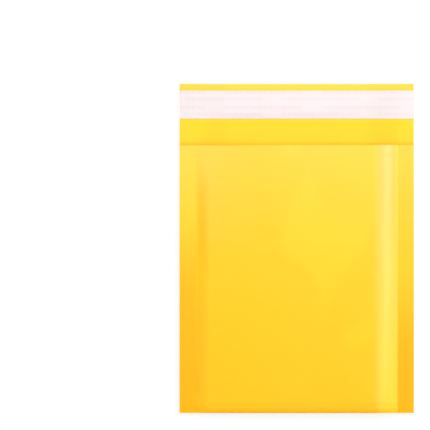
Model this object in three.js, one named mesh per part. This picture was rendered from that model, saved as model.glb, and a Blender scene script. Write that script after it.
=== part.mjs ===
// Padded mailing envelope, lying on its back with the flap open.
//
// One sheet of golden kraft paper is folded once at the bottom: the long half is the back panel and
// the flap, the short half is the front panel. A pouch of bubble film lines the pocket. Its front
// and back are fused along the two side seams, where the paper is bonded to it and the bubbles are
// pressed flat. The flap carries a band of pressure-sensitive adhesive under a white release liner.
//
// Millimetres. +Z up, +X to the right, +Y from the bottom fold towards the flap.
// The origin is the middle of the bounding box, on the surface that the envelope lies on.

import * as THREE from "three";
import { mergeVertices } from "three/addons/utils/BufferGeometryUtils.js";

// ---------------------------------------------------------------- driving dimensions
const WIDTH = 152; // across the two side seams
const POCKET = 173.8; // bottom fold to the mouth edge of the front panel
const FLAP = 39.7; // mouth edge to the free edge of the flap
const SEAM = 10.7; // width of each flat side seam
const SHOULDER = 17; // from a seam to the level middle of the pocket

const PAPER = 0.15; // kraft sheet
const GLUE = 0.05; // bond between the paper and the film
const FUSED_FILM = 0.4; // both films, pressed flat in a seam
const WALL = 1.6; // bubble film, as flat as it lies in an empty envelope
const GAPE = 4.2; // space between the two linings in the level middle
const GAPE_BOTTOM = 4; // the same at the bottom fold
const TAPER = 70; // length over which the pocket closes towards the fold
const LIP_DIP = 0.5; // front panel at the mouth, where cut bubbles are pressed down, below its level middle
const LIP_RUN = 50; // length over which it runs down to the mouth
const SEAM_LIFT = 1.8; // underside of a seam above the table
const CREASE = 0.12; // share of the shoulder where the two linings part

const FLAP_REST = 0.85; // share of the seam's lift that is left at the flap's free edge

const LINER_WIDTH = 18.2; // release liner, full width of the envelope
const LINER_MARGIN = 4.4; // flap's free edge to the liner
const LINER_THICK = 0.1;
const ADHESIVE_WIDTH = 14; // adhesive band, in the middle of the liner
const ADHESIVE_THICK = 0.1;
const SKIN_GAP = 0.05; // between stacked skins on the flap

// ---------------------------------------------------------------- derived
const LENGTH = POCKET + FLAP;
const EDGE = WIDTH / 2;
const Y_BOTTOM = -LENGTH / 2;
const Y_FREE = LENGTH / 2;
const Y_MOUTH = Y_FREE - FLAP;
const Y_LEVEL = Y_BOTTOM + TAPER;
const SEAM_IN = EDGE - SEAM;
const SKIN = PAPER + GLUE;
const SEAM_THICK = FUSED_FILM + 2 * SKIN;

const smooth = (t) => {
  const c = Math.min(1, Math.max(0, t));
  return c * c * (3 - 2 * c);
};

// Rise of the shoulder, 0 at the seam and 1 in the middle. It leaves the seam at an angle, which is
// the crease beside the seam, and runs level into the middle.
const rise = (u) => {
  const c = Math.min(1, Math.max(0, u));
  return c * (2 - c);
};
const shoulder = (x) => (SEAM_IN - Math.abs(x)) / SHOULDER;

// Space between the linings, and thickness of the whole pack, on the centre line.
const gapeAt = (y) =>
  GAPE_BOTTOM + (GAPE - GAPE_BOTTOM) * smooth((y - Y_BOTTOM) / TAPER);
const packAt = (y) => gapeAt(y) + 2 * (WALL + SKIN);

// Underside of the back panel and top of the front panel.
const backZ = (x) => SEAM_LIFT * (1 - rise(shoulder(x)));
const frontZ = (x, y) => {
  const s = rise(shoulder(x));
  return packAt(y) * s + (SEAM_LIFT + SEAM_THICK) * (1 - s);
};
const midZ = (x, y) => (frontZ(x, y) + backZ(x)) / 2;
const halfThick = (x, y) => (frontZ(x, y) - backZ(x)) / 2;
const halfGape = (x, y) =>
  (gapeAt(y) / 2) * rise((shoulder(x) - CREASE) / (1 - CREASE));

// How far the outside of the front panel runs down towards the mouth. The pocket inside stays level.
const lipDip = (x, y) =>
  LIP_DIP *
  Math.max(0, (y - (Y_MOUTH - LIP_RUN)) / LIP_RUN) ** 2 *
  rise(shoulder(x));

// Underside of the flap: the back panel's curve, which dies away towards the free edge.
const flapZ = (x, y) =>
  backZ(x) * (1 - (1 - FLAP_REST) * smooth((y - Y_MOUTH) / FLAP));

// ---------------------------------------------------------------- stations
const half = [
  ...[1, 0.85, 0.7, 0.5, 0.3, CREASE].map((u) => SEAM_IN - u * SHOULDER),
  SEAM_IN,
  EDGE - SEAM / 2,
  EDGE,
];
const X = [...half.map((x) => -x).reverse(), 0, ...half];
const FIRST = X.indexOf(-(SEAM_IN - CREASE * SHOULDER)); // where the linings part, on the left
const LAST = X.length - 1 - FIRST;

const Y_FLAP = [1, 0.75, 0.5, 0.25].map((v) => Y_MOUTH + v * FLAP);
const Y_PANEL = [
  ...[0, 0.25, 0.5, 1].map((v) => Y_MOUTH - v * LIP_RUN),
  Y_LEVEL,
  Y_BOTTOM + 54,
  Y_BOTTOM + 38,
  Y_BOTTOM + 24,
  Y_BOTTOM + 12,
];
const FOLD_STEPS = 8;

const foldRadius = (x) => halfThick(x, Y_BOTTOM);
const foldY = (x) => Y_BOTTOM + foldRadius(x);

// One line of the folded sheet at x, inset from the outside of the paper: down the back panel from
// the mouth, round the bottom fold, and up the front panel to the mouth. `inset` is the depth below
// the outside, or null for the wall of the pocket.
function foldedLine(x, inset) {
  const off = (y) =>
    inset === null ? halfGape(x, y) : halfThick(x, y) - inset;
  const radius = inset === null ? off(foldY(x)) : foldRadius(x) - inset;
  const line = Y_PANEL.map((y) => [x, y, midZ(x, y) - off(y)]);
  const yf = foldY(x);
  for (let k = 0; k <= FOLD_STEPS; k++) {
    const a = (Math.PI * k) / FOLD_STEPS;
    line.push([
      x,
      yf - radius * Math.sin(a),
      midZ(x, yf) - off(yf) * Math.cos(a),
    ]);
  }
  const dip = (y) => (inset === null ? 0 : lipDip(x, y));
  for (const y of [...Y_PANEL].reverse())
    line.push([x, y, midZ(x, y) + off(y) - dip(y)]);
  return line;
}

// ---------------------------------------------------------------- mesh helpers
class Faces {
  positions = [];
  tri(a, b, c) {
    this.positions.push(...a, ...b, ...c);
  }
  quad(a, b, c, d) {
    this.tri(a, b, c);
    this.tri(a, c, d);
  }
  // Rows of points, as a surface. `flip` turns its faces round and keeps their diagonals, so that two
  // parallel surfaces stay apart.
  grid(rows, flip) {
    for (let i = 0; i + 1 < rows.length; i++)
      for (let j = 0; j + 1 < rows[i].length; j++) {
        const [a, b] = [rows[i][j], rows[i + 1][j]];
        const [d, c] = [rows[i][j + 1], rows[i + 1][j + 1]];
        if (flip) this.quad(a, d, c, b);
        else this.quad(a, b, c, d);
      }
  }
  // A closed geometry: shared vertices are merged and collapsed triangles are dropped.
  geometry() {
    const loose = new THREE.BufferGeometry().setAttribute(
      "position",
      new THREE.Float32BufferAttribute(this.positions, 3),
    );
    const merged = mergeVertices(loose, 2e-3);
    const index = [];
    const from = merged.index.array;
    for (let i = 0; i < from.length; i += 3) {
      const [a, b, c] = [from[i], from[i + 1], from[i + 2]];
      if (a !== b && b !== c && c !== a) index.push(a, b, c);
    }
    merged.setIndex(index);
    merged.computeVertexNormals();
    return merged;
  }
}

function mesh(name, geometry, color, roughness, extra = {}) {
  const made = new THREE.Mesh(
    geometry,
    new THREE.MeshStandardMaterial({ color, roughness, metalness: 0, ...extra }),
  );
  made.name = name;
  return made;
}

// A closed sheet between two surfaces given as columns of points.
function sheetBetween(lower, upper) {
  const f = new Faces();
  f.grid(lower, true);
  f.grid(upper, false);
  const n = lower.length - 1;
  const m = lower[0].length - 1;
  for (let j = 0; j < m; j++) {
    f.quad(upper[0][j], upper[0][j + 1], lower[0][j + 1], lower[0][j]);
    f.quad(lower[n][j], lower[n][j + 1], upper[n][j + 1], upper[n][j]);
  }
  for (let i = 0; i < n; i++) {
    f.quad(lower[i][0], lower[i + 1][0], upper[i + 1][0], upper[i][0]);
    f.quad(upper[i][m], upper[i + 1][m], lower[i + 1][m], lower[i][m]);
  }
  return f.geometry();
}

// ---------------------------------------------------------------- kraft paper, one folded sheet
function kraftSheet() {
  const line = (x, inset) => [
    ...Y_FLAP.map((y) => [x, y, flapZ(x, y) + inset]),
    ...foldedLine(x, inset),
  ];
  const outside = X.map((x) => line(x, 0));
  const inside = X.map((x) => line(x, PAPER));
  return sheetBetween(inside, outside);
}

// ---------------------------------------------------------------- bubble film, a pouch open at the mouth
function bubblePouch() {
  const f = new Faces();
  const out = X.map((x) => foldedLine(x, SKIN));
  const cavity = X.slice(FIRST, LAST + 1).map((x) => foldedLine(x, null));
  const n = X.length - 1;
  const m = out[0].length - 1; // line[0] is the back at the mouth, line[m] the front
  f.grid(out, false);
  f.grid(cavity, true);

  // The cut edges of the fused seams, at the two sides.
  for (let j = 0; j < m / 2; j++) {
    f.quad(out[0][j], out[0][j + 1], out[0][m - j - 1], out[0][m - j]);
    f.quad(out[n][m - j], out[n][m - j - 1], out[n][j + 1], out[n][j]);
  }

  // The rim of the mouth.
  for (let i = 0; i < n; i++) {
    const [b0, b1] = [out[i][0], out[i + 1][0]];
    const [t0, t1] = [out[i][m], out[i + 1][m]];
    const c0 = cavity[i - FIRST];
    const c1 = cavity[i + 1 - FIRST];
    if (c0 && c1) {
      f.quad(b0, c0[0], c1[0], b1);
      f.quad(c0[m], t0, t1, c1[m]);
    } else if (c1) {
      f.tri(b0, c1[0], b1);
      f.tri(b0, t0, c1[0]);
      f.tri(t0, t1, c1[0]);
    } else if (c0) {
      f.tri(b0, c0[0], b1);
      f.tri(b1, c0[0], t1);
      f.tri(t1, c0[0], t0);
    } else {
      f.quad(b0, t0, t1, b1);
    }
  }
  return f.geometry();
}

// ---------------------------------------------------------------- strips that lie on the flap
function flapStrip(yLow, yHigh, base, thick) {
  const ys = [yLow, (yLow + yHigh) / 2, yHigh];
  const at = (lift) =>
    X.map((x) => ys.map((y) => [x, y, flapZ(x, y) + PAPER + lift]));
  return sheetBetween(at(base), at(base + thick));
}

const linerHigh = Y_FREE - LINER_MARGIN;
const linerLow = linerHigh - LINER_WIDTH;
const bandMid = (linerHigh + linerLow) / 2;

const envelope = new THREE.Group();
envelope.name = "padded_envelope";
envelope.add(
  mesh("kraft_sheet", kraftSheet(), 0xfdd236, 0.5),
  mesh("bubble_lining", bubblePouch(), 0xe9eef0, 0.22, {
    transparent: true,
    opacity: 0.45,
  }),
  mesh(
    "adhesive_band",
    flapStrip(
      bandMid - ADHESIVE_WIDTH / 2,
      bandMid + ADHESIVE_WIDTH / 2,
      SKIN_GAP,
      ADHESIVE_THICK,
    ),
    0xf2e3b0,
    0.3,
  ),
  mesh(
    "release_liner",
    flapStrip(
      linerLow,
      linerHigh,
      2 * SKIN_GAP + ADHESIVE_THICK,
      LINER_THICK,
    ),
    0xfdf4f2,
    0.4,
  ),
);

export default envelope;
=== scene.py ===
"""Padded mailing envelope, lying on its back with the flap open, seen from straight above.

Lengths are in millimetres until a mesh is written, which is in metres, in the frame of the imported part:
+X to the right, +Y from the bottom fold towards the flap, +Z up.
"""

import math

import bpy
import numpy as np
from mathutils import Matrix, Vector


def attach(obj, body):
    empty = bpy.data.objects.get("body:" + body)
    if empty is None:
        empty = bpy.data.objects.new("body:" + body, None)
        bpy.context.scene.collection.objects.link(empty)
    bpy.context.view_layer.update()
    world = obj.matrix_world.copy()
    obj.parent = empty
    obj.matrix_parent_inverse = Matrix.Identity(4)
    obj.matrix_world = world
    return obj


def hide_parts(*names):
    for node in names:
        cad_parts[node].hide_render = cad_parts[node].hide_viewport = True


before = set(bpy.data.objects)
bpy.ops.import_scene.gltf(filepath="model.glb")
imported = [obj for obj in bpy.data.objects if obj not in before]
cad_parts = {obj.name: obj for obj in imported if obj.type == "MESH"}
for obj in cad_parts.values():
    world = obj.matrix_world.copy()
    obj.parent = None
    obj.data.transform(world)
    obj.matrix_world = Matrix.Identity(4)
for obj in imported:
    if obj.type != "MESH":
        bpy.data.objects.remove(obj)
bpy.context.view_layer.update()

MM = 0.001

# ------------------------------------------------------------------ dimensions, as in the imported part
WIDTH, POCKET, FLAP, SEAM, SHOULDER = 152.0, 173.8, 39.7, 10.7, 17.0
PAPER, GLUE, FUSED_FILM, WALL = 0.15, 0.05, 0.4, 1.6
GAPE, GAPE_BOTTOM, TAPER, SEAM_LIFT, CREASE = 4.2, 4.0, 70.0, 1.8, 0.12
LIP_RUN = 50.0
FLAP_REST = 0.85
LINER_WIDTH, LINER_MARGIN, LINER_THICK = 18.2, 4.4, 0.1
ADHESIVE_WIDTH, ADHESIVE_THICK, SKIN_GAP = 14.0, 0.1, 0.05

LENGTH = POCKET + FLAP
EDGE = WIDTH / 2
Y_BOTTOM, Y_FREE = -LENGTH / 2, LENGTH / 2
Y_MOUTH = Y_FREE - FLAP
SEAM_IN = EDGE - SEAM
SKIN = PAPER + GLUE
SEAM_THICK = FUSED_FILM + 2 * SKIN
PARTING = SEAM_IN - CREASE * SHOULDER  # where the two linings part

# Looser shape that the paper takes on: at the lip of the mouth, at the bottom fold, and beside the left seam,
# where a short step with a soft crease is followed by a long slow crown
LIP_DIP, FOLD_DIP, FOLD_RUN = 0.1, 0.5, 14.0
STEP, STEP_SHARE, CROWN, SOFT_CREASE, SOFT_CROWN = 9.5, 0.52, 56.0, 1.6, 5.0
SQUARE = 3.8  # how square the bottom fold is, 2 being round
# Bubble film
BUBBLE, PITCH, FILM = 9.6, 10.8, 0.14


def smooth(t):
    c = np.clip(t, 0.0, 1.0)
    return c * c * (3 - 2 * c)


def rise(u):
    c = np.clip(u, 0.0, 1.0)
    return c * (2 - c)


def shoulder(x):
    """0 at a seam's inner edge, 1 where the pocket is level."""
    return (SEAM_IN - np.abs(x)) / SHOULDER


def eased(t, span, soft):
    """t as a share of span, started softly over about soft."""
    return (np.hypot(t, soft) - soft) / (math.hypot(span, soft) - soft)


def front_rise(x, y):
    """Rise of the front panel from the seams, 0 to 1: the shoulder's on the right, the step and the crown on the left.
    The step runs out towards the mouth."""
    t = np.maximum(SEAM_IN + x, 0)
    share = STEP_SHARE * np.clip((Y_MOUTH - 2.0 - y) / 62.0, 0, 1)
    left = share * rise(eased(t, STEP, SOFT_CREASE)) + (1 - share) * rise(eased(t, CROWN, SOFT_CROWN))
    return np.where(x < 0, left, rise(shoulder(x)))


def gape_at(y):
    return GAPE_BOTTOM + (GAPE - GAPE_BOTTOM) * smooth((y - Y_BOTTOM) / TAPER)


def pack_at(y):
    return gape_at(y) + 2 * (WALL + SKIN)


def undulation(x, y):
    """Slow, shallow unevenness of the front panel, as paper on bubbles has it. Zero in the seams."""
    held = smooth(shoulder(x) / 0.9)
    return held * (
        0.10 * np.sin(0.055 * x + 0.021 * y + 0.6)
        + 0.08 * np.sin(-0.038 * x + 0.047 * y + 2.1)
        + 0.05 * np.sin(0.083 * x - 0.066 * y + 4.0)
    )


def back_z(x):
    return SEAM_LIFT * (1 - rise(shoulder(x)))


def front_z(x, y):
    s = rise(shoulder(x))
    return pack_at(y) * s + (SEAM_LIFT + SEAM_THICK) * (1 - s)


def front_shift(x, y):
    """What the front panel has over that even shape: its unevenness, and its fall to the mouth and into the fold."""
    s = rise(shoulder(x))
    lip = np.clip((y - (Y_MOUTH - LIP_RUN)) / LIP_RUN, 0, None) ** 2
    fold = np.clip((Y_BOTTOM + FOLD_RUN - y) / FOLD_RUN, 0, None) ** 2
    reach = pack_at(y) - SEAM_LIFT - SEAM_THICK
    return undulation(x, y) - (LIP_DIP * lip + FOLD_DIP * fold) * s + reach * (front_rise(x, y) - s)


def mid_z(x, y):
    return (front_z(x, y) + back_z(x)) / 2


def half_thick(x, y):
    return (front_z(x, y) - back_z(x)) / 2


def half_gape(x, y):
    return (gape_at(y) / 2) * rise((shoulder(x) - CREASE) / (1 - CREASE))


def flap_z(x, y):
    """The flap leaves the back panel's shape at the mouth, and its ends curl up softly beyond it."""
    curl = SEAM_LIFT * (1 - smooth((EDGE - np.abs(x)) / (SEAM + SHOULDER)))
    beyond = smooth((y - Y_MOUTH) / 14.0)
    lie = back_z(x) * (1 - beyond) + curl * beyond
    return lie * (1 - (1 - FLAP_REST) * smooth((y - Y_MOUTH) / FLAP))


def fold_y(x):
    return Y_BOTTOM + half_thick(x, Y_BOTTOM)


# ------------------------------------------------------------------ stations
def spread(*stops):
    """Numbers along the stops (from, to, step), each stretch evenly divided."""
    out = []
    for a, b, step in stops:
        n = max(1, round(abs(b - a) / step))
        out += list(np.linspace(a, b, n + 1)[(1 if out else 0):])
    return out


def mirrored(half):
    return np.array([-x for x in reversed(half[1:])] + half)


NEAR_FOLD = Y_BOTTOM + 8.0


def panel_rows(step_mouth, step_deep, fine):
    """Stations down a panel, from the mouth: a height, or a share of the last stretch to the fold."""
    ys = spread(
        (Y_MOUTH, Y_MOUTH - fine, step_mouth), (Y_MOUTH - fine, NEAR_FOLD, step_deep)
    )
    return [("y", y) for y in ys] + [("near", f) for f in (0.78, 0.56, 0.36, 0.17)]


def folded(rows, fold_steps, x, off, radius, shift, lean=lambda x, y: 0.0 * x):
    """Points of a folded surface, one row of columns for each station: down the back, round the fold and up the front.
    off(x, y, s, front) is the distance from the middle, radius its depth at the fold, shift(x, y) is added in front,
    and lean(x, y) is added to the middle."""
    yf = fold_y(x)

    def height(row):
        kind, v = row
        return np.full_like(x, v) if kind == "y" else yf + (NEAR_FOLD - yf) * v

    points, lines = [], []
    for row in rows:
        y = height(row)
        s = Y_MOUTH - y
        points.append(np.stack([x, y, mid_z(x, y) + lean(x, y) - off(x, y, s, False)], 1))
        lines.append(s)
    start = Y_MOUTH - yf
    for k in range(fold_steps + 1):
        a = math.pi * k / fold_steps
        s = start + half_thick(x, yf) * a
        front = k > fold_steps / 2
        r, h = radius(x, s), off(x, yf, s, front)
        across, down = math.cos(a), math.sin(a)
        full = (abs(across) ** SQUARE + abs(down) ** SQUARE) ** (-1 / SQUARE)
        y = yf - r * down * full
        share = (1 - across) / 2
        points.append(np.stack([x, y, mid_z(x, yf) + lean(x, yf) - h * across * full + shift(x, y) * share], 1))
        lines.append(s)
    turn = start + half_thick(x, yf) * math.pi
    for row in reversed(rows):
        y = height(row)
        s = turn + (y - yf)
        points.append(np.stack([x, y, mid_z(x, y) + lean(x, y) + off(x, y, s, True) + shift(x, y)], 1))
        lines.append(s)
    return np.array(points), np.array(lines)


# ------------------------------------------------------------------ meshes
class Build:
    """Collects points with their values, and faces with their place on the map, and makes one object."""

    def __init__(self):
        self.points, self.values, self.count = [], {}, 0
        self.faces, self.maps, self.slots = [], [], []

    def add(self, points, **values):
        flat = points.reshape(-1, 3)
        at = np.arange(self.count, self.count + len(flat)).reshape(points.shape[:2])
        self.points.append(flat)
        self.count += len(flat)
        for name, v in values.items():
            self.values.setdefault(name, []).append(v)
        return at

    def grid(self, at, uv, slot=0, flip=False):
        a, b = at[:-1, :-1], at[:-1, 1:]
        c, d = at[1:, 1:], at[1:, :-1]
        ua, ub, uc, ud = uv[:-1, :-1], uv[:-1, 1:], uv[1:, 1:], uv[1:, :-1]
        order = [(a, ua), (b, ub), (c, uc), (d, ud)]
        if flip:
            order.reverse()
        self.faces.append(np.stack([o[0].ravel() for o in order], 1))
        self.maps.append(np.stack([o[1].reshape(-1, 2) for o in order], 1))
        self.slots.append(np.full(a.size, slot))

    def strip(self, one, two, box, slot=0, flip=False):
        """A band of quads between two lines of points, laid on the map in box (u0, v0, u1, v1), along its longer side."""
        u0, v0, u1, v1 = box
        t = np.linspace(0, 1, len(one))
        along = (u1 - u0) >= (v1 - v0)
        uv1 = (
            np.stack([u0 + (u1 - u0) * t, np.full_like(t, v0)], 1)
            if along
            else np.stack([np.full_like(t, u0), v0 + (v1 - v0) * t], 1)
        )
        uv2 = (
            np.stack([u0 + (u1 - u0) * t, np.full_like(t, v1)], 1)
            if along
            else np.stack([np.full_like(t, u1), v0 + (v1 - v0) * t], 1)
        )
        self.grid(
            np.stack([one, two]), np.stack([uv1, uv2]), slot=slot, flip=flip
        )

    def make(self, name, materials, sharp_deg=50.0):
        mesh = bpy.data.meshes.new(name)
        faces = np.concatenate(self.faces)
        maps = np.concatenate(self.maps)
        slots = np.concatenate(self.slots)
        keep, kept_maps = [], []
        for f, m in zip(faces.tolist(), maps):
            corners = [k for k in range(4) if f[k] != f[k - 1]]
            keep.append([f[k] for k in corners])
            kept_maps.append(m[corners])
        mesh.from_pydata((np.concatenate(self.points) * MM).tolist(), [], keep)
        for m in materials:
            mesh.materials.append(m)
        mesh.polygons.foreach_set("material_index", slots.astype(np.int32))
        layer = mesh.uv_layers.new(name="OFBake")
        layer.data.foreach_set("uv", np.concatenate(kept_maps).astype(np.float32).ravel())
        for key, parts in self.values.items():
            data = np.concatenate([p.reshape(-1, p.shape[-1]) if p.ndim == 3 else p.reshape(-1, 1) for p in parts])
            if data.shape[1] == 3:
                mesh.attributes.new(key, "FLOAT_VECTOR", "POINT").data.foreach_set(
                    "vector", data.astype(np.float32).ravel()
                )
            else:
                mesh.attributes.new(key, "FLOAT", "POINT").data.foreach_set(
                    "value", data.astype(np.float32).ravel()
                )
        mesh.polygons.foreach_set("use_smooth", np.ones(len(mesh.polygons), bool))
        mesh.update()
        mesh.set_sharp_from_angle(angle=math.radians(sharp_deg))
        mesh.validate()
        obj = bpy.data.objects.new(name, mesh)
        bpy.context.scene.collection.objects.link(obj)
        return obj


def hex_place(x, s):
    """Distance in millimetres from (x, s) to the nearest bubble's middle."""
    row = PITCH * math.sqrt(3) / 2
    best = np.full(np.broadcast(x, s).shape, 1e9)
    base = np.floor(s / row)
    for dr in (-1, 0, 1, 2):
        r = base + dr
        shift = np.mod(r, 2) * PITCH / 2
        cx = np.round((x - shift) / PITCH) * PITCH + shift
        best = np.minimum(best, np.hypot(x - cx, s - r * row - 3.0))
    return best


def bubble(x, s):
    """Share of a bubble's height at (x, s): a round cap with steep sides."""
    r = np.clip(hex_place(x, s) / (BUBBLE / 2), 0, 1)
    return (1 - r**2.6) ** 0.62


# ------------------------------------------------------------------ nodes
class Nodes:
    def __init__(self, name):
        self.material = bpy.data.materials.new(name)
        self.material.use_nodes = True
        self.tree = self.material.node_tree
        self.tree.nodes.clear()
        self.shader = self.tree.nodes.new("ShaderNodeBsdfPrincipled")
        out = self.tree.nodes.new("ShaderNodeOutputMaterial")
        self.tree.links.new(self.shader.outputs[0], out.inputs[0])

    def put(self, value, socket):
        if isinstance(value, bpy.types.NodeSocket):
            self.tree.links.new(value, socket)
        else:
            socket.default_value = value

    def set(self, **values):
        for name, v in values.items():
            self.put(v, self.shader.inputs[name.replace("_", " ")])

    def attribute(self, name, output="Vector"):
        n = self.tree.nodes.new("ShaderNodeAttribute")
        n.attribute_name = name
        return n.outputs[output]

    def math(self, op, a, b=0.0, c=0.0, clamp=False):
        n = self.tree.nodes.new("ShaderNodeMath")
        n.operation, n.use_clamp = op, clamp
        for v, i in zip((a, b, c), n.inputs):
            self.put(v, i)
        return n.outputs[0]

    def vector(self, op, a, b=None, scale=None):
        n = self.tree.nodes.new("ShaderNodeVectorMath")
        n.operation = op
        self.put(a, n.inputs[0])
        if b is not None:
            self.put(b, n.inputs[1])
        if scale is not None:
            self.put(scale, n.inputs["Scale"])
        return n.outputs[0]

    def split(self, v):
        n = self.tree.nodes.new("ShaderNodeSeparateXYZ")
        self.put(v, n.inputs[0])
        return n.outputs

    def noise(self, vector, scale, detail=2.0, roughness=0.5, distortion=0.0):
        n = self.tree.nodes.new("ShaderNodeTexNoise")
        self.put(vector, n.inputs["Vector"])
        n.inputs["Scale"].default_value = scale
        n.inputs["Detail"].default_value = detail
        n.inputs["Roughness"].default_value = roughness
        n.inputs["Distortion"].default_value = distortion
        return n.outputs[0]

    def about(self, fac, amount):
        """A noise between 0 and 1 as a change of plus or minus amount, near enough."""
        return self.math("MULTIPLY", self.math("SUBTRACT", fac, 0.5), 2 * amount)

    def sum(self, first, *rest):
        for r in rest:
            first = self.math("ADD", first, r)
        return first

    def band(self, value, low, high, soft):
        """1 between low and high, falling to 0 over soft on each side."""
        n = []
        for a, b in ((low - soft, low), (high + soft, high)):
            m = self.tree.nodes.new("ShaderNodeMapRange")
            m.interpolation_type = "SMOOTHSTEP"
            self.put(value, m.inputs["Value"])
            m.inputs["From Min"].default_value = min(a, b)
            m.inputs["From Max"].default_value = max(a, b)
            m.inputs["To Min"].default_value = 0.0 if a < b else 1.0
            m.inputs["To Max"].default_value = 1.0 if a < b else 0.0
            n.append(m.outputs[0])
        return self.math("MULTIPLY", *n)

    def blend(self, fac, a, b):
        n = self.tree.nodes.new("ShaderNodeMix")
        n.data_type = "RGBA"
        self.put(fac, n.inputs["Factor"])
        sockets = [i for i in n.inputs if i.type == "RGBA"]
        self.put(a, sockets[0])
        self.put(b, sockets[1])
        return next(o for o in n.outputs if o.type == "RGBA")

    def bump(self, height, strength, distance):
        n = self.tree.nodes.new("ShaderNodeBump")
        n.inputs["Strength"].default_value = strength
        n.inputs["Distance"].default_value = distance
        self.put(height, n.inputs["Height"])
        self.put(n.outputs[0], self.shader.inputs["Normal"])


def kraft(name, colour, pressed, roughness, uneven, fibre_depth, specular, dulls):
    """Kraft paper, dyed through. colour and deeper are linear RGB; deeper is the darker tone it is blended towards:
    lower in the seams and along the fold, and as painted shade and painted shadow elsewhere, while painted light
    lightens it.
    dulls says whether it loses its gloss in places. Where it doesn't, it is paler there instead."""
    n = Nodes(name)
    at = n.attribute("sheet")
    press = n.attribute("press", "Fac")
    seam = n.attribute("seam", "Fac")
    shine = specular
    if dulls:
        shine = n.math("MULTIPLY_ADD", n.attribute("dull", "Fac"), -specular, specular)
    cloud = n.noise(at, 14.0, 1.0)
    mottle = n.noise(at, 95.0, 3.0, 0.55)
    fibre = n.noise(n.vector("MULTIPLY", at, (1500.0, 380.0, 900.0)), 1.0, 3.0, 0.6, 0.4)
    cross = n.noise(n.vector("MULTIPLY", at, (300.0, 1100.0, 900.0)), 1.0, 2.0, 0.55, 0.6)
    grain = n.noise(at, 5200.0, 1.0)
    tone = n.sum(
        1.0,
        n.about(cloud, 0.010),
        n.about(mottle, 0.016),
        n.about(fibre, 0.030),
        n.about(cross, 0.018),
        n.about(grain, 0.018),
        # Where it is below 0 the paper is lightened: painted light and a painted highlight.
        n.math("MULTIPLY", n.math("MINIMUM", press, 0.0), -0.12),
    )
    # Blended towards the deeper tone: lower in the seams and along the fold, and as painted shade and painted shadow
    # elsewhere.
    paper = n.blend(press, (*colour, 1.0), (*pressed, 1.0))
    if not dulls:
        # Inside, paler within a few millimetres of the flap's free edge.
        paper = n.blend(n.attribute("dull", "Fac"), paper, (0.98, 0.588, 0.072, 1.0))
    n.set(
        Base_Color=n.vector("SCALE", paper, scale=tone),
        Roughness=n.math(
            "MAXIMUM",
            n.sum(
                roughness,
                n.about(mottle, uneven),
                n.about(fibre, uneven),
                n.math("MULTIPLY", seam, -0.02),
                n.math("MULTIPLY", press, n.math("MULTIPLY_ADD", seam, -0.08, 0.05)),
            ),
            0.29,
        ),
        Specular_IOR_Level=shine,
    )
    height = n.sum(
        n.math("MULTIPLY", fibre, 0.5), n.math("MULTIPLY", cross, 0.3), n.math("MULTIPLY", grain, 0.2)
    )
    n.bump(height, fibre_depth, 0.00004)
    return n.material


def bubble_film():
    n = Nodes("bubble_film")
    at = n.attribute("sheet")
    wrinkle = n.noise(at, 420.0, 3.0, 0.6, 0.8)
    haze = n.noise(at, 120.0, 2.0)
    n.set(
        Base_Color=n.vector(
            "SCALE", (0.90, 0.92, 0.93), scale=n.sum(1.0, n.about(haze, 0.05))
        ),
        Roughness=n.sum(0.17, n.about(haze, 0.06)),
        IOR=1.51,
        Alpha=0.30,
        Coat_Weight=0.0,
    )
    n.bump(wrinkle, 0.35, 0.00012)
    return n.material


def adhesive():
    n = Nodes("adhesive")
    at = n.attribute("sheet")
    flow = n.noise(n.vector("MULTIPLY", at, (60.0, 900.0, 1.0)), 1.0, 3.0)
    n.set(
        Base_Color=n.vector(
            "SCALE", (0.88, 0.80, 0.52), scale=n.sum(1.0, n.about(flow, 0.06))
        ),
        Roughness=n.sum(0.22, n.about(flow, 0.08)),
        IOR=1.48,
        Alpha=0.85,
    )
    n.bump(flow, 0.4, 0.00004)
    return n.material


# Faint printed rows on the liner: plain ticks in broken runs, the rows set off against each other.
TICK, RUN_PERIOD, RUN_SHARE = 1.95, 63.3, 0.80
ROWS = ((1.0, -47.0), (5.5, -73.0), (11.0, -47.0), (15.25, -73.0))  # from the liner's upper edge, and where a run starts


def liner_paper():
    n = Nodes("liner_paper")
    at = n.attribute("sheet")  # metres: across, down from the upper edge, side
    x, v, side = n.split(n.vector("SCALE", at, scale=1000.0))
    ticks = n.band(
        n.math("ABSOLUTE", n.math("SUBTRACT", n.math("FRACT", n.math("DIVIDE", x, TICK)), 0.5)),
        -1.0, 0.27, 0.08,
    )
    ink = None
    for down, start in ROWS:
        run = n.band(
            n.math("FRACT", n.math("DIVIDE", n.math("SUBTRACT", x, start - 4 * RUN_PERIOD), RUN_PERIOD)),
            0.0, RUN_SHARE, 0.004,
        )
        row = n.math("MULTIPLY", run, n.band(v, down - 0.95, down + 0.95, 0.25))
        ink = row if ink is None else n.math("MAXIMUM", ink, row)
    uneven = n.noise(n.vector("MULTIPLY", at, (300.0, 150.0, 1.0)), 1.0, 2.0)
    ink = n.math("MULTIPLY", n.math("MULTIPLY", ink, ticks), n.math("MULTIPLY_ADD", uneven, 1.0, 0.15), clamp=True)
    ink = n.math("MULTIPLY", ink, side)
    fibre = n.noise(n.vector("MULTIPLY", at, (420.0, 1700.0, 900.0)), 1.0, 3.0, 0.6)
    mottle = n.noise(at, 110.0, 2.0)
    tone = n.sum(1.0, n.about(fibre, 0.012), n.about(mottle, 0.008))
    paper = n.blend(ink, (0.752, 0.664, 0.676, 1.0), (0.700, 0.592, 0.606, 1.0))
    n.set(
        Base_Color=n.vector("SCALE", paper, scale=tone),
        Roughness=n.sum(0.42, n.about(mottle, 0.05), n.about(fibre, 0.05)),
        Specular_IOR_Level=0.4,
    )
    n.bump(fibre, 0.15, 0.00003)
    return n.material


# ------------------------------------------------------------------ kraft sheet
OUTSIDE, INSIDE = 0, 1


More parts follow.
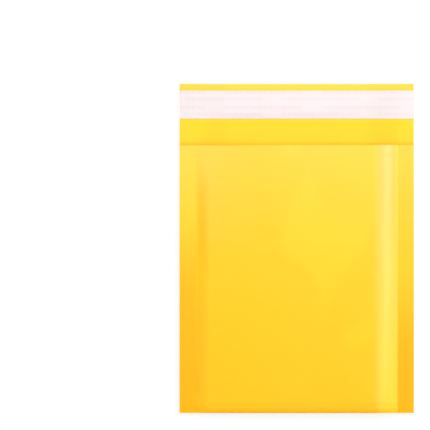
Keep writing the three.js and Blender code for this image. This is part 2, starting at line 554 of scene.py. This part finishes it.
def left_stripe(x, y):
    """A soft stripe above the left step, in the upper half of the pocket, 0 to 1: where shade is painted into the
    paper's colour, and a little gloss is taken out.
    """
    across = 1 - smooth((np.abs(x + 60.2) - 1.6) / 3.2)
    return across * smooth((58.0 - y) / 22.0) * smooth((y + 32.0) / 36.0)


def lip_shadow(x, y):
    """A shadow painted along the front panel's lip, 0 to 1: it is darkest where the right shoulder begins, and fades
    out beyond.
    """
    hard = 0.6 + 0.4 * (1 - smooth((np.abs(x - 50.5) - 6.0) / 4.0))
    hard = hard + 0.2 * (1 - smooth((np.abs(x + 43.0) - 4.0) / 4.0)) + 0.2 * smooth((-x - 68.0) / 3.0)
    return np.clip((y - Y_MOUTH + 0.8) / 0.8, 0, 1) * hard * (1 - 0.7 * smooth((x - 57.0) / 3.0))


def pressed_tone(x, y, front):
    """How far the paper outside is blended to its deeper tone: in the two seams, darker towards the bottom, and along
    the bottom fold; as painted shade beside the left seam, in a stripe above the left step, and on the right shoulder
    towards the mouth. Below 0 it is lightened instead: painted light low on the right shoulder, and a painted highlight
    at the lower left corner. The back has the seams and the fold only."""
    # Painted shade in a soft stripe above the left step.
    shade_stripe = 0.40 * left_stripe(x, y)
    # The seams: darker towards the bottom.
    soft = 0.9 + 4.0 * smooth((-60.0 - y) / 25.0)
    left = smooth((-x - 65.8 + soft) / soft) * smooth((34.0 - y) / 74.0)
    # Painted shade in a band beside the left seam, lower down the pocket.
    beside = 0.5 * (1 - smooth((x + SEAM_IN) / 9.0)) * smooth((5.0 - y) / 60.0)
    right = smooth((x - SEAM_IN) / 0.5) * (0.16 + 0.84 * smooth((-10.0 - y) / 64.0))
    crest = smooth((x - 50.0) / 6.0) * (1 - smooth((x - 62.0) / 4.0))
    fold = (0.95 - 0.7 * crest) * np.clip((Y_BOTTOM + 8.0 - y) / 8.0, 0, 1) ** 1.5
    # Painted shade on the right shoulder towards the mouth, where the highlight lies.
    painted_shade_high_right = 0.85 * crest * smooth((y + 35.0) / 90.0)
    # Painted light: the right shoulder lightened low down, towards the fold.
    painted_light_low_right = 0.75 * crest * smooth((-20.0 - y) / 70.0) * smooth((y - Y_BOTTOM) / 9.0)
    # A painted highlight at the lower left corner, by the crease.
    painted_highlight_corner = 0.6 * (1 - smooth(np.hypot((x + 65.5) / 4.5, (y + 97.5) / 5.0)))
    face = np.maximum.reduce([left, beside, shade_stripe, right, fold, painted_shade_high_right]) - painted_light_low_right - painted_highlight_corner
    return np.where(front, face, np.maximum.reduce([left, right, fold]) * (y < Y_MOUTH))


def dulled(x, y):
    """How much of its gloss the paper has lost outside: along the fold, beside the left seam, and low in the seams."""
    fold = 0.85 * smooth((Y_BOTTOM + 5.0 - y) / 4.0)
    beside = 0.2 * smooth((x + SEAM_IN + 0.6) / 1.0) * (1 - smooth((x + SEAM_IN) / 9.0)) * smooth((20.0 - y) / 60.0)
    left = 0.12 * smooth((-x - SEAM_IN) / 0.6) * smooth((20.0 - y) / 70.0)
    right = 0.30 * smooth((x - SEAM_IN) / 0.6) * smooth((-10.0 - y) / 64.0)
    flank = 0.2 * smooth((x - 60.5) / 2.0) * (1 - smooth((x - SEAM_IN) / 0.6)) * smooth((-40.0 - y) / 40.0)
    return np.maximum.reduce([fold, beside, left, right, flank, 0.08 * left_stripe(x, y)])


def mouth_shade(line):
    """Painted shade inside, on the flap along the mouth, where the front panel's lip shades it."""
    return np.clip((line - FLAP + 2.7) / 2.5, 0, 1) ** 1.4 * smooth((FLAP + 0.8 - line) / 0.6)


def kraft_sheet():
    half = spread(
        (0, 48.3, 1.75), (48.3, 64.4, 0.85), (64.4, 66.6, 0.3), (66.6, 75.6, 0.95), (75.6, EDGE, 0.4)
    )
    x = mirrored(half)
    flap_ys = spread((Y_FREE, Y_FREE - 0.6, 0.6), (Y_FREE - 0.6, Y_MOUTH + 4, 1.5), (Y_MOUTH + 4, Y_MOUTH, 0.8))[:-1]
    rows = panel_rows(0.8, 1.75, 8.0)

    def side(inset):
        flap = np.array([np.stack([x, np.full_like(x, y), flap_z(x, y) + inset], 1) for y in flap_ys])
        body, s = folded(
            rows, 16, x,
            lambda x, y, s, front: half_thick(x, y) - inset,
            lambda x, s: half_thick(x, Y_BOTTOM) - inset,
            front_shift,
        )
        line = np.concatenate([np.array([np.full_like(x, Y_FREE - y) for y in flap_ys]), s + FLAP])
        return np.concatenate([flap, body]), line

    out, line = side(0.0)
    inn, _ = side(PAPER)
    span = line.max()
    b = Build()
    ids = []
    for points, which in ((out, 1.0), (inn, 0.0)):
        sheet = np.stack(
            [points[..., 0] * MM, line * MM, np.full_like(line, 0.05 * which)], -1
        )
        seam = smooth((np.abs(points[..., 0]) - SEAM_IN + 0.4) / 0.8)
        if which:
            front = line > span / 2 + FLAP / 2
            # Outside: the seams' and fold's darker tone, painted shade and painted light, and a painted shadow along
            # the front panel's lip.
            lip = lip_shadow(points[..., 0], points[..., 1]) * front
            press = pressed_tone(points[..., 0], points[..., 1], front)
            press = np.where(lip > 0, np.maximum(press, lip), press)
            dull = np.maximum(dulled(points[..., 0], points[..., 1]), 0.6 * lip)
        else:
            # Inside: painted shade along the mouth, and paler within 6 mm of the flap's free edge.
            press, dull = mouth_shade(line), np.clip(1 - line / 6.0, 0, 1)
        ids.append(b.add(points, sheet=sheet, press=press, seam=seam, dull=dull))
    u = (out[..., 0] + EDGE) / WIDTH
    v = line / span
    uv_out = np.stack([0.010 + 0.478 * u, 0.012 + 0.974 * v], -1)
    uv_in = np.stack([0.512 + 0.478 * u, 0.012 + 0.974 * v], -1)
    a, c = ids
    b.grid(a, uv_out, OUTSIDE)
    b.grid(c, uv_in, INSIDE, flip=True)
    b.strip(a[:, 0], c[:, 0], (0.4935, 0.012, 0.4965, 0.986), INSIDE)
    b.strip(c[:, -1], a[:, -1], (0.5005, 0.012, 0.5035, 0.986), INSIDE)
    b.strip(c[0], a[0], (0.010, 0.991, 0.488, 0.994), INSIDE)
    b.strip(a[-1], c[-1], (0.512, 0.991, 0.990, 0.994), INSIDE)
    return b, span


# ------------------------------------------------------------------ bubble lining
def bubble_lining():
    half = spread((0, 48.3, 1.05), (48.3, PARTING, 1.05), (PARTING, SEAM_IN, 1.0), (SEAM_IN, EDGE, 1.6))
    x = mirrored(half)
    first = int(np.argmin(np.abs(x + PARTING)))
    last = len(x) - 1 - first
    rows = panel_rows(0.8, 1.45, 34.0)
    steps = 16
    out, line = folded(
        rows, steps, x,
        lambda x, y, s, front: half_thick(x, y) - SKIN,
        lambda x, s: half_thick(x, Y_BOTTOM) - SKIN,
        front_shift,
    )
    span = line.max()

    def inner(x, y, s, front):
        """Distance of the inner film from the middle: a bubble's cap reaches the pocket's wall, and between the bubbles the film lies back on its backing."""
        room = half_thick(x, y) - SKIN + front_shift(x, y) / 2
        gap = np.minimum(half_gape(x, y), room - 0.2)
        wall = room - gap
        open_ = smooth((PARTING - np.abs(x)) / 4.0)
        mouth = Y_MOUTH - y
        cap = bubble(x, s) * (0.22 + 0.78 * smooth(mouth / 5.0))
        return np.maximum(gap + np.maximum(wall - FILM, 0) * (1 - cap) * open_, 0.012)

    xi = x[first : last + 1]
    cav, _ = folded(
        rows, steps, xi, inner,
        lambda x, s: inner(x, fold_y(x), s, True),
        lambda x, y: 0.0 * x,
        lambda x, y: front_shift(x, y) / 2,
    )
    b = Build()
    ids = []
    for points, cols, which in ((out, x, 0.0), (cav, xi, 1.0)):
        l = line if which == 0 else line[:, first : last + 1]
        sheet = np.stack([points[..., 0] * MM, l * MM, np.full_like(l, 0.05 * which)], -1)
        ids.append(b.add(points, sheet=sheet))
    o, c = ids
    u = (x + EDGE) / WIDTH
    v = line / span
    uv_o = np.stack([0.010 + 0.478 * np.broadcast_to(u, v.shape), 0.012 + 0.974 * v], -1)
    uv_c = (uv_o + [0.502, 0.0])[:, first : last + 1]
    b.grid(o, uv_o)
    b.grid(c, uv_c, flip=True)
    m = len(o) - 1
    h = m // 2

    def pairs(col, at):
        return at[: h + 1, col], at[m - h :, col][::-1]

    low, high = pairs(0, o)
    b.strip(low, high, (0.4920, 0.012, 0.4945, 0.986))
    low, high = pairs(-1, o)
    b.strip(high, low, (0.4960, 0.012, 0.4985, 0.986))
    low, high = pairs(0, c)
    b.strip(high, low, (0.5000, 0.012, 0.5025, 0.986))
    low, high = pairs(-1, c)
    b.strip(low, high, (0.5040, 0.012, 0.5065, 0.986))

    # The rim of the mouth: the pocket's two lips, and the fused ends on either side.
    b.strip(c[0], o[0, first : last + 1], (0.010, 0.990, 0.488, 0.992))
    b.strip(o[m, first : last + 1], c[m], (0.512, 0.990, 0.990, 0.992))
    b.strip(o[m, : first + 1], o[0, : first + 1], (0.010, 0.994, 0.240, 0.996))
    b.strip(o[m, last:], o[0, last:], (0.260, 0.994, 0.488, 0.996))
    # small closing faces where the lips begin
    for k, cc in ((first, 0), (last, -1)):
        quad = [o[0, k], c[0, cc], c[m, cc], o[m, k]]
        if k == first:
            quad.reverse()
        b.faces.append(np.array([quad]))
        b.maps.append(np.array([[[0.992, 0.994], [0.994, 0.994], [0.994, 0.996], [0.992, 0.996]]]))
        b.slots.append(np.array([0]))
    return b, span


# ------------------------------------------------------------------ strips on the flap
def flap_strip(low, high, base, thick, rows, half, lift):
    """A closed thin strip on the flap, with its upper edge first. lift(x, y) moves its free margins."""
    x = mirrored(half)
    ys = np.array(rows)
    b = Build()
    ids = []
    for h, which in ((base, 0.0), (base + thick, 1.0)):
        pts = np.array([np.stack([x, np.full_like(x, y), flap_z(x, y) + PAPER + h + lift(x, y)], 1) for y in ys])
        sheet = np.stack(
            [pts[..., 0] * MM, (high - pts[..., 1]) * MM, np.full(pts.shape[:2], which * MM)], -1
        )
        ids.append(b.add(pts, sheet=sheet))
    under, over = ids
    u = np.broadcast_to((x + EDGE) / WIDTH, over.shape)
    v = np.broadcast_to(((high - ys) / (high - low))[:, None], over.shape)
    b.grid(over, np.stack([0.01 + 0.98 * u, 0.48 - 0.46 * v], -1), flip=True)
    b.grid(under, np.stack([0.01 + 0.98 * u, 0.98 - 0.46 * v], -1))
    b.strip(under[0], over[0], (0.01, 0.490, 0.99, 0.492), flip=True)
    b.strip(over[-1], under[-1], (0.01, 0.495, 0.99, 0.497), flip=True)
    b.strip(over[:, 0], under[:, 0], (0.002, 0.02, 0.004, 0.48), flip=True)
    b.strip(under[:, -1], over[:, -1], (0.995, 0.02, 0.997, 0.48), flip=True)
    return b


liner_high = Y_FREE - LINER_MARGIN
liner_low = liner_high - LINER_WIDTH
band_mid = (liner_high + liner_low) / 2

# ------------------------------------------------------------------ the pieces
paper_out = kraft("kraft_outside", (0.98, 0.558, 0.0045), (0.97, 0.450, 0.0025), 0.35, 0.03, 0.10, 0.95, True)
paper_in = kraft("kraft_inside", (0.98, 0.584, 0.0205), (0.93, 0.435, 0.006), 0.72, 0.04, 0.18, 0.3, False)

b, sheet_length = kraft_sheet()
sheet = b.make("kraft_sheet_paper", [paper_out, paper_in])
b, film_length = bubble_lining()
lining = b.make("bubble_lining_film", [bubble_film()], sharp_deg=70)

strip_half = spread((0, 75.6, 1.2), (75.6, EDGE, 0.4))
b = flap_strip(
    band_mid - ADHESIVE_WIDTH / 2, band_mid + ADHESIVE_WIDTH / 2, SKIN_GAP, ADHESIVE_THICK,
    spread((band_mid + ADHESIVE_WIDTH / 2, band_mid - ADHESIVE_WIDTH / 2, 0.9)), strip_half,
    lambda x, y: 0.0 * x,
)
band = b.make("adhesive_band_coat", [adhesive()])


def margin_lift(x, y):
    """The liner's free margins, beyond the adhesive, come down on the flap, a little unevenly."""
    out = np.abs(y - band_mid) - ADHESIVE_WIDTH / 2
    return -0.10 * smooth(out / 2.1) * (1 + 0.3 * np.sin(0.11 * x + 0.7 * np.sign(y - band_mid)))


b = flap_strip(
    liner_low, liner_high, 2 * SKIN_GAP + ADHESIVE_THICK, LINER_THICK,
    spread((liner_high, liner_high - 2.1, 0.5), (liner_high - 2.1, liner_low + 2.1, 1.0), (liner_low + 2.1, liner_low, 0.5)),
    strip_half, margin_lift,
)
liner = b.make("release_liner_strip", [liner_paper()])

for piece, node, slot in (
    (sheet, "kraft_sheet", "kraft_paper"),
    (lining, "bubble_lining", "bubble_film"),
    (band, "adhesive_band", "adhesive"),
    (liner, "release_liner", "liner_paper"),
):
    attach(piece, "root")
    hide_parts(node)

# ------------------------------------------------------------------ floor
floor_mesh = bpy.data.meshes.new("floor")
FLOOR, SIDES = 1.2, 96
floor_mesh.from_pydata(
    [(FLOOR * math.cos(2 * math.pi * k / SIDES), FLOOR * math.sin(2 * math.pi * k / SIDES), -0.0002) for k in range(SIDES)],
    [],
    [tuple(range(SIDES))],
)
floor = bpy.data.objects.new("floor", floor_mesh)
bpy.context.scene.collection.objects.link(floor)
n = Nodes("pale_floor")
place = n.tree.nodes.new("ShaderNodeNewGeometry").outputs["Position"]
away = n.tree.nodes.new("ShaderNodeVectorMath")
away.operation = "LENGTH"
n.put(place, away.inputs[0])
glow = n.tree.nodes.new("ShaderNodeMapRange")
glow.interpolation_type = "SMOOTHSTEP"
n.put(away.outputs["Value"], glow.inputs["Value"])
for socket, v in zip(("From Min", "From Max", "To Min", "To Max"), (0.12, 0.8, 0.84, 1.0)):
    glow.inputs[socket].default_value = v
n.set(
    Base_Color=(0.15, 0.15, 0.15, 1.0),
    Roughness=0.9,
    Specular_IOR_Level=0.1,
    Emission_Color=(1.0, 1.0, 1.0, 1.0),
    Emission_Strength=glow.outputs[0],
)
floor_mesh.materials.append(n.material)

# ------------------------------------------------------------------ light
scene = bpy.context.scene
world = bpy.data.worlds.new("studio")
scene.world = world
world.use_nodes = True
tree = world.node_tree
fill = tree.nodes["Background"]
fill.inputs["Color"].default_value = (1.0, 1.0, 1.0, 1.0)
fill.inputs["Strength"].default_value = 0.06
backdrop = tree.nodes.new("ShaderNodeBackground")
backdrop.inputs["Color"].default_value = (1.0, 1.0, 1.0, 1.0)
backdrop.inputs["Strength"].default_value = 1.0
either = tree.nodes.new("ShaderNodeMixShader")
tree.links.new(tree.nodes.new("ShaderNodeLightPath").outputs["Is Camera Ray"], either.inputs[0])
tree.links.new(fill.outputs[0], either.inputs[1])
tree.links.new(backdrop.outputs[0], either.inputs[2])
tree.links.new(either.outputs[0], tree.nodes["World Output"].inputs["Surface"])


def softbox(name, turn, height, far, aim, wide, tall, watts, gloss=1.0):
    """A soft light seen from aim at turn degrees round from +X and height degrees up, far metres away.
    gloss is the share of it that also shows as a reflection; the rest lights as a polarised light does."""
    t, h = math.radians(turn), math.radians(height)
    aim = Vector(aim)
    place = aim + far * Vector((math.cos(h) * math.cos(t), math.cos(h) * math.sin(t), math.sin(h)))
    for suffix, share, shows in (("", gloss, True), ("_polarised", 1 - gloss, False)):
        if share <= 0:
            continue
        light = bpy.data.lights.new(name + suffix, "AREA")
        light.shape, light.size, light.size_y, light.energy = "RECTANGLE", wide, tall, watts * share
        obj = bpy.data.objects.new(name + suffix, light)
        obj.location = place
        obj.rotation_euler = (aim - place).to_track_quat("-Z", "Y").to_euler()
        obj.visible_camera = False
        obj.visible_glossy = shows
        scene.collection.objects.link(obj)


MIDDLE = (0.0, 0.0, 0.0)
softbox("key_far_left", 125, 38, 3.2, MIDDLE, 4.2, 1.6, 65.5, gloss=0.28)
softbox("fill_far_right", 45, 25, 3.2, MIDDLE, 3.0, 0.9, 13.0)
softbox("fill_left", 180, 9, 3.2, MIDDLE, 4.2, 0.7, 51.0, gloss=0.38)
softbox("fill_left_high", 180, 65, 3.2, MIDDLE, 2.8, 0.9, 1.6)
softbox("fill_near", 270, 45, 3.2, MIDDLE, 2.8, 0.9, 6.0)
softbox("fill_near_low", 270, 12, 3.2, MIDDLE, 2.8, 0.7, 41.0, gloss=0.33)
softbox("fill_near_right", 315, 25, 3.2, MIDDLE, 1.6, 0.9, 6.0)
softbox("fill_right", 0, 20, 3.2, MIDDLE, 2.8, 0.9, 14.5, gloss=0.7)
softbox("fill_right_high", 0, 65, 3.2, MIDDLE, 2.8, 0.9, 8.7)
softbox("strip_right_far", 0, 46, 1.2, (0.05, 0.45, 0.0), 0.5, 0.28, 9.3)
softbox("strip_right", 0, 46, 1.2, (0.05, 0.15, 0.0), 0.5, 0.28, 1.7)
softbox("sheen_mouth", 90, 76.76, 0.3493, (0.0, 0.06, 0.0), 0.36, 0.12, 0.302)
softbox("sheen_mouth_left", 90, 76.76, 0.3493, (-0.12, 0.06, 0.0), 0.24, 0.12, 0.34)
softbox("sheen_mouth_right", 90, 76.76, 0.3493, (0.14, 0.06, 0.0), 0.16, 0.12, 0.17)

# ------------------------------------------------------------------ camera
FRAME_PX, MM_PER_PX = 430, 152.0 / 234.2
CENTRE_PX = (296.6, 248.3)  # the envelope's middle in the frame
LENS, SENSOR = 200.0, 36.0
cam_data = bpy.data.cameras.new("camera")
cam_data.lens, cam_data.sensor_width = LENS, SENSOR
cam_data.clip_start, cam_data.clip_end = 0.05, 50.0
camera = bpy.data.objects.new("camera", cam_data)
scene.collection.objects.link(camera)
distance = FRAME_PX * MM_PER_PX * MM * LENS / SENSOR
camera.location = (
    (FRAME_PX / 2 - CENTRE_PX[0]) * MM_PER_PX * MM,
    (CENTRE_PX[1] - FRAME_PX / 2) * MM_PER_PX * MM,
    distance + 0.0016,
)
camera.rotation_euler = (0.0, 0.0, 0.0)
scene.camera = camera

scene.view_settings.view_transform = "Standard"
scene.view_settings.look = "None"
scene.view_settings.exposure = 0.0
scene.view_settings.gamma = 1.0
